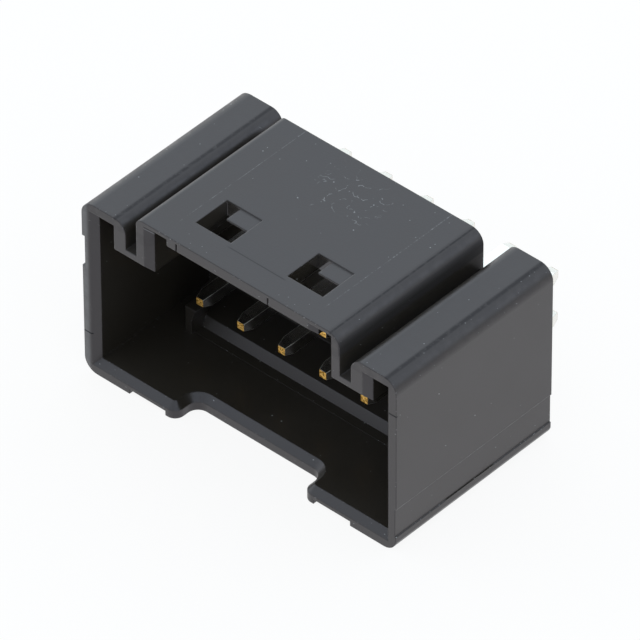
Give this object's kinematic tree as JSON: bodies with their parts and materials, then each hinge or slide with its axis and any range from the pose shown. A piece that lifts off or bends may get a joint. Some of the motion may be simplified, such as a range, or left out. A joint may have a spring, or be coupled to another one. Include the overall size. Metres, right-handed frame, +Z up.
{
  "type": "box header",
  "caption": "Black moulded box header lying on its long wall: square tinned contacts inside a keyed housing with latch windows and straight solder tails.",
  "frame": {"origin": "middle of the whole part's footprint, on the outer face of the long lower wall it lies on", "axes": "+X along the rows of contacts, +Y from the mouth to the circuit board, +Z up from the lower wall to the latch wall with the windows"},
  "size_m": [0.0188, 0.0144, 0.0108],
  "materials": {
    "housing_plastic": "fine matt moulded surface",
    "contact_metal": "bright tin over brass wire, bare brass on both cut ends"
  },
  "bodies": {
    "root": {"housing": "housing_plastic", "contact_a1": "contact_metal", "contact_a2": "contact_metal", "contact_a3": "contact_metal", "contact_a4": "contact_metal", "contact_a5": "contact_metal", "contact_a6": "contact_metal", "contact_b1": "contact_metal", "contact_b2": "contact_metal", "contact_b3": "contact_metal", "contact_b4": "contact_metal", "contact_b5": "contact_metal", "contact_b6": "contact_metal"}
  },
  "joints": []
}
